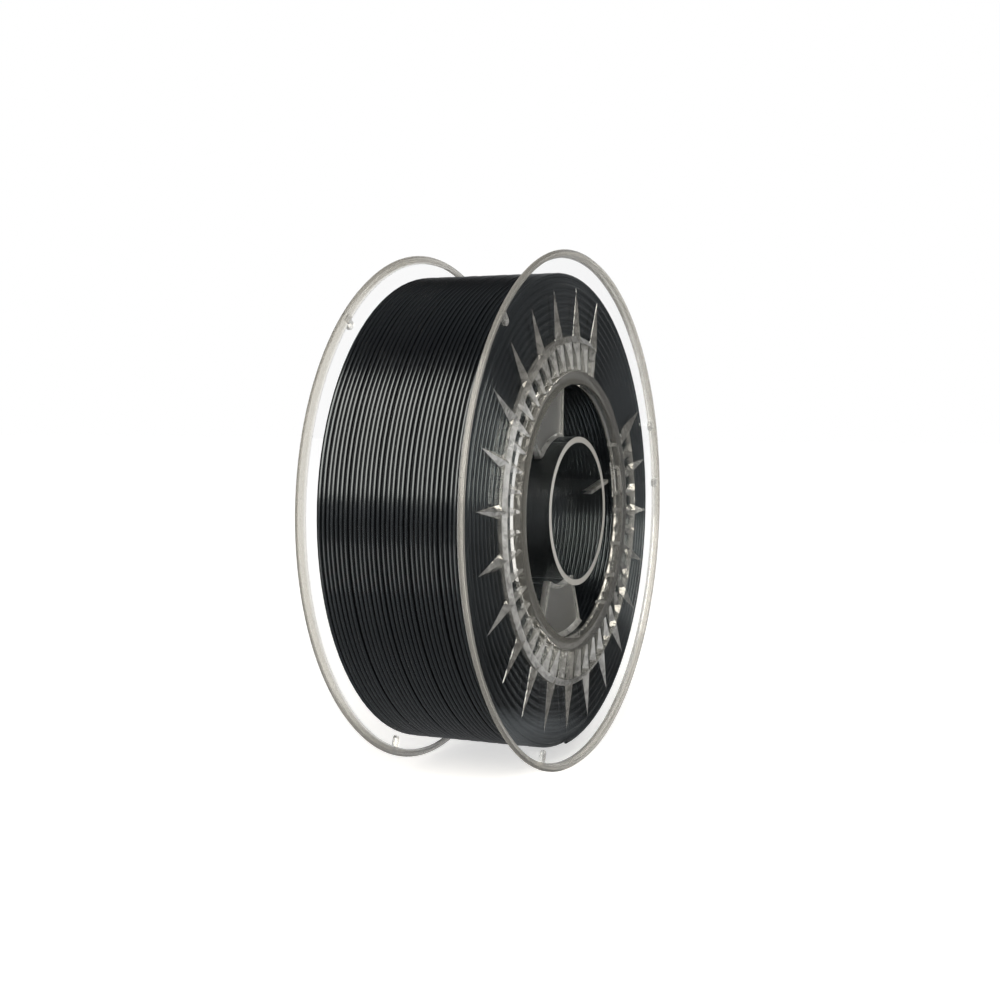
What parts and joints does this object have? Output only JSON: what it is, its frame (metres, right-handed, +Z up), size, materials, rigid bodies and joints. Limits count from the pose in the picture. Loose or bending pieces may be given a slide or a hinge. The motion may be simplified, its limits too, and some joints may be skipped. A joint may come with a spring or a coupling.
{
  "type": "filament spool",
  "caption": "Clear plastic spool with a sunburst relief on its flanges, a drum on a webbed hub tube, and black printing filament wound in even turns between the flanges.",
  "frame": {"origin": "centre of the spool: on the axis, midway between the two flanges", "axes": "+Y along the spool's axis from the pictured flange to the far one, +Z up with the spool standing on its rims, +X across; the pictured flange faces -Y"},
  "size_m": [0.2, 0.0668, 0.2],
  "materials": {
    "clear_plastic": "clear moulded polystyrene",
    "black_filament": "satin to glossy black"
  },
  "bodies": {
    "root": {"front_flange": "clear_plastic", "rear_flange": "clear_plastic", "drum": "clear_plastic", "hub": "clear_plastic", "filament_inner_layers": "black_filament", "filament_outer_layer": "black_filament"}
  },
  "joints": []
}
